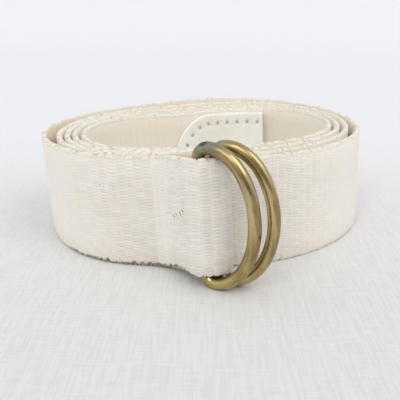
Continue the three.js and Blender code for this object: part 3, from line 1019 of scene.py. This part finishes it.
# %% Tab stitches
TAB_THREAD_RADIUS = 0.13 * MM
TAB_THREAD = srgb(248, 247, 239)


def tab_stitch_lines():
    """An arc over the leather between each pair of neighbouring holes, on the outer and the inner side."""
    t = np.linspace(0.12, 0.88, STITCH_STEPS)
    rise = TAB_THREAD_RADIUS * (1 - 1.9 * np.abs(2 * t - 1) ** 4)
    away = TAB_THICK / 2 - TAB_THREAD_RADIUS * 0.6 + rise * 0.35
    place, up = (HOLES[:-1, :, None] + np.diff(HOLES, axis=0)[:, :, None] * t).transpose(1, 0, 2)
    lines = []
    for leg in (TAB_PATH[:TAB_LEG_ROWS], TAB_PATH[-TAB_LEG_ROWS:][::-1]):
        x, y, nx, ny, centre = (np.interp(place, leg[:, 6], leg[:, k]) for k in range(5))
        lines.append(leaned(x + nx * away, y + ny * away, centre + up))
    return np.concatenate(lines)


tab_thread = thread_material("tab thread", TAB_THREAD)
add_tubes("tab_stitches", tab_stitch_lines(), TAB_THREAD_RADIUS, STITCH_SIDES, tab_thread)

# %% [markdown]
# ## The D-rings
# Each ring is one bent brass wire with its ends soldered on the bar. The wire's middle line is a
# straight bar, two small corners and half an oval. A round section is carried along it, square to
# the line.

# %% Ring surface
WIRE_RADIUS = 1.65 * MM
RING_HALF_HEIGHT = 17.95 * MM
RING_DEPTH = 14.9 * MM
RING_CORNER = 3.0 * MM
WIRE_SIDES = 28
BOW_STEPS, CORNER_STEPS, BAR_STEPS = 120, 16, 40
WIRE_WAVES, WIRE_WAVE_SHARE = 9, 0.012


def ring_line():
    """Middle line in the ring's own plane, out from the bar and up. It starts in the middle of the bar,
    and passes a corner, a bow that is half an oval, and the other corner."""
    reach = RING_DEPTH - RING_CORNER
    t = np.linspace(-np.pi / 2, np.pi / 2, BOW_STEPS)
    bow = np.stack([RING_CORNER + reach * np.cos(t), RING_HALF_HEIGHT * np.sin(t)], 1)
    q = np.linspace(0, np.pi / 2, CORNER_STEPS)[1:]
    top = RING_HALF_HEIGHT - RING_CORNER
    upper = np.stack([RING_CORNER - RING_CORNER * np.sin(q), top + RING_CORNER * np.cos(q)], 1)
    bar_up = np.linspace(top, -top, BAR_STEPS)[1:-1]
    bar = np.stack([0 * bar_up, bar_up], 1)
    lower = np.stack([RING_CORNER - RING_CORNER * np.cos(q), -top - RING_CORNER * np.sin(q)], 1)
    start_on_bar = -(len(bow) + len(upper) + len(bar) // 2)
    return np.roll(np.vstack([bow, upper, bar, lower[:-1]]), start_on_bar, axis=0)


def ring_grid(ring):
    """Round section along the line, then turned about the bar by the ring's yaw and leaned with the coil.
    Then each point's place on the wire before it was bent."""
    line = ring_line()
    slope = unit(np.roll(line, -1, 0) - np.roll(line, 1, 0))
    turn = np.linspace(0, 2 * np.pi, WIRE_SIDES, endpoint=False)
    round_ring = np.linspace(0, 2 * np.pi, len(line), endpoint=False)[:, None]
    radius = WIRE_RADIUS * (1 + WIRE_WAVE_SHARE * np.sin(WIRE_WAVES * round_ring + ring["phase"]))
    out, side = radius * np.cos(turn), radius * np.sin(turn)
    reach = line[:, :1] + slope[:, 1:] * out
    up = line[:, 1:] - slope[:, :1] * out
    yaw, tilt = np.radians(ring["yaw"]), np.arctan(LEAN)
    x = reach * np.cos(yaw) + side * np.sin(yaw)
    y = side * np.cos(yaw) - reach * np.sin(yaw)
    grid = np.stack([x * np.cos(tilt) - up * np.sin(tilt), y, x * np.sin(tilt) + up * np.cos(tilt)], -1)
    along = np.concatenate([[0], np.cumsum(np.linalg.norm(np.diff(line, axis=0), axis=1))])[:, None]
    return grid + HINGES[ring["joint"]], np.stack(np.broadcast_arrays(out, side, along), -1)


# %% [markdown]
# ## Aged brass
# The brass has lost its lacquer. It is olive yellow where fingers keep it bright and brown where they
# don't reach, with fine scratches along the wire. They follow an attribute that holds each point's place on
# the wire before it was bent. Sweat has left a grey-green patina at the top corner of the front ring,
# with a blue-green spot on it and a red tinge below it, and one more small spot at the ring's side.

# %% Brass material
BRASS = srgb(208, 190, 141)
BRASS_BROWN = srgb(120, 90, 62)
BRASS_OLIVE = srgb(188, 172, 114)
UNDERSIDE_RED = srgb(176, 104, 66)
GREY_PATINA = srgb(108, 116, 104)
VERDIGRIS = srgb(28, 76, 76)
STREAK_SHARE = 0.72
STREAK_SCALE = (420.0, 420.0, 60.0)
SCRATCH_SCALE = (3200.0, 3200.0, 160.0)
SCRATCH_DEPTH = 0.12 * MM
# spots on the front ring: how far they are from its hinge, and their radius, in millimetres
PATINA_SPOT = ((0.9, -1.2, 18.0), 7.4)
VERDIGRIS_SPOT = ((0.2, -1.4, 19.4), 1.9)
RED_SPOT = ((1.4, -2.2, 15.4), 2.6)
SMALL_SPOT = ((13.9, -8.6, -1.6), 0.95)


def spot(place, from_hinge, radius):
    """One inside a ball round a place on the front ring, falling smoothly to nothing at its radius."""
    centre = (FRONT_HINGE + np.array(from_hinge) * MM).tolist()
    return between(vector_of("DISTANCE", place, centre), 0, radius * MM, 1, 0)


def brass_material():
    """Bare metal under brown streaks, patina and verdigris, which are rougher and less of a metal."""
    material, tree, shader, place = new_material("aged brass", {"Metallic": 1.0})
    straight = from_mesh(tree, "straight", "Vector")
    streaks = between(noise(stretched(straight, *STREAK_SCALE), 1, 4.0, 0.6), 0.38, 0.6)
    broad = between(noise(place, 70.0, 2.0), 0.35, 0.7)
    mottled = between(noise(place, 600.0, 3.0), 0.3, 0.6, 0.65, 1)
    patina = times(spot(place, *PATINA_SPOT), mottled)
    red = between(spot(place, *RED_SPOT), 0.1, 0.5)
    green = math_of("MAXIMUM", spot(place, *VERDIGRIS_SPOT), spot(place, *SMALL_SPOT))
    green = between(green, 0.1, 0.6)
    paint(
        shader, BRASS,
        (broad, BRASS_OLIVE),
        (times(streaks, STREAK_SHARE), BRASS_BROWN),
        (patina, GREY_PATINA),
        (red, UNDERSIDE_RED),
        (green, VERDIGRIS),
    )
    dull = math_of("MAXIMUM", green, times(patina, 0.6))
    dull = math_of("MAXIMUM", dull, times(red, 0.7))
    metal = math_of("SUBTRACT", 1.0, times(dull, 0.8))
    tree.links.new(metal, shader.inputs["Metallic"])
    rough = math_of("ADD", between(streaks, 0, 1, 0.2, 0.34), times(dull, 0.3))
    tree.links.new(rough, shader.inputs["Roughness"])
    scratches = noise(stretched(straight, *SCRATCH_SCALE), 1.0, 3.0, 0.6)
    dents = noise(place, 380.0, 2.0)
    height = math_of("ADD", times(scratches, 0.5), times(dents, 0.5))
    emboss(shader, height, SCRATCH_DEPTH, 0.9)
    return material


brass = brass_material()
for name, ring in RINGS.items():
    ring_points, ring_straight = ring_grid(ring)
    ring_mesh = swept_mesh(name + "_wire", ring_points, closed_path=True)
    add_attribute(ring_mesh, "straight", ring_straight)
    piece = add_piece(name + "_wire", ring_mesh, ring["body"], brass)
    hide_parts(name)

# %% [markdown]
# ## Floor and light
# The belt stands on a pale cloth, which curves up into a backdrop far behind it, under soft light from
# all round. The cloth is painted lighter and cooler from near the belt towards the back, for the
# brighter light there. Two broad lamps above, the left one stronger, give the brass its long highlights
# and the coil its faint shadow. The brass also mirrors a dark patch that the camera itself doesn't see.

# %% Floor
FLOOR_HALF_WIDTH = 6.0
FLOOR_FRONT = -6.0
SWEEP_FROM = 0.7
SWEEP_RADIUS = 0.5
SWEEP_STEPS = 25
BACKDROP_TOP = 4.0
FLOOR_NEAR = srgb(220, 219, 217)
FLOOR_FAR_PAINTED_LIGHT = srgb(228, 229, 232)
FLOOR_THREAD = srgb(196, 195, 192)
NEAR_TO, FAR_FROM = -0.08, 0.16
FLOOR_THREAD_DEPTH = 0.3 * MM


def floor_material():
    """Plain cloth with threads both ways, which show near the belt and fade out behind it. It is painted
    lighter and cooler towards the back and up the backdrop, standing in for the brighter light there.
    """
    material, tree, shader, place = new_material("floor cloth", {"Roughness": 1.0, "Specular IOR Level": 0.1})
    # painted light: the colour goes from the near tone to a lighter, cooler one towards the back
    far = between(add_node("SeparateXYZ", {0: place}).outputs[1], NEAR_TO, FAR_FROM)
    along_y = noise(stretched(place, 1300.0, 90.0, 90.0), 1.0, 3.0)
    along_x = noise(stretched(place, 120.0, 1300.0, 120.0), 1.0, 3.0)
    threads = math_of("ADD", along_y, times(along_x, 0.6))
    dark_thread = times(between(threads, 0.9, 0.65), math_of("SUBTRACT", 1, far))
    paint(shader, FLOOR_NEAR, (far, FLOOR_FAR_PAINTED_LIGHT), (times(dark_thread, 0.3), FLOOR_THREAD))
    emboss(shader, threads, FLOOR_THREAD_DEPTH, 0.35)
    return material


# a flat floor that turns up through a quarter circle into the backdrop
turn = np.linspace(0, np.pi / 2, SWEEP_STEPS)
far_end = SWEEP_FROM + SWEEP_RADIUS
depth = np.concatenate([[FLOOR_FRONT], SWEEP_FROM + SWEEP_RADIUS * np.sin(turn), [far_end]])
height = np.concatenate([[0], SWEEP_RADIUS * (1 - np.cos(turn)), [BACKDROP_TOP]])
left = np.stack([np.full_like(depth, -FLOOR_HALF_WIDTH), depth, height], 1)
row = np.arange(len(depth) - 1)
quads = np.stack([row, row + len(depth), row + len(depth) + 1, row + 1], 1)
floor_mesh = smooth_mesh("floor", np.concatenate([left, left * (-1, 1, 1)]), quads.tolist())
floor_mesh.materials.append(floor_material())
floor = put_object("floor", floor_mesh)
print("floor", len(quads), "faces")

# %% Light
WORLD_LIGHT = 0.92
PALE_ROOM = srgb(252, 253, 255)
DARK_PATCH = srgb(104, 94, 84)
DARK_TOWARDS = (0.15, -0.96, 0.25)
SOFT_ANGLE = np.radians(38)
# name, where it shines from, and strength
LAMPS = (("left light", (-0.22, -0.82, 0.8), 0.98), ("right light", (0.6, -0.45, 0.85), 0.58))


def make_world():
    """Even light from all round. Towards the front it darkens, but not for what the camera sees itself."""
    world = bpy.data.worlds.new("studio")
    bpy.context.scene.world = world
    world.use_nodes = True
    tree = world.node_tree
    direction = add_node("TexCoord", tree=tree).outputs["Generated"]
    towards = vector_of("DOT_PRODUCT", direction, DARK_TOWARDS)
    mirrored = math_of("SUBTRACT", 1.0, add_node("LightPath", tree=tree).outputs["Is Camera Ray"])
    dark = times(between(towards, 0.6, 1), mirrored)
    background = tree.nodes["Background"]
    tree.links.new(mix_colour(dark, PALE_ROOM, DARK_PATCH), background.inputs["Color"])
    background.inputs["Strength"].default_value = WORLD_LIGHT


make_world()
# light from so far away that all of the floor gets the same, each from a wide soft disc
for name, place, strength in LAMPS:
    light = bpy.data.lights.new(name, "SUN")
    light.angle = SOFT_ANGLE
    light.energy = strength
    lamp = put_object(name, light)
    lamp.matrix_world = (-Vector(place)).to_track_quat("-Z", "Y").to_matrix().to_4x4()
bpy.context.scene.view_settings.view_transform = "Standard"
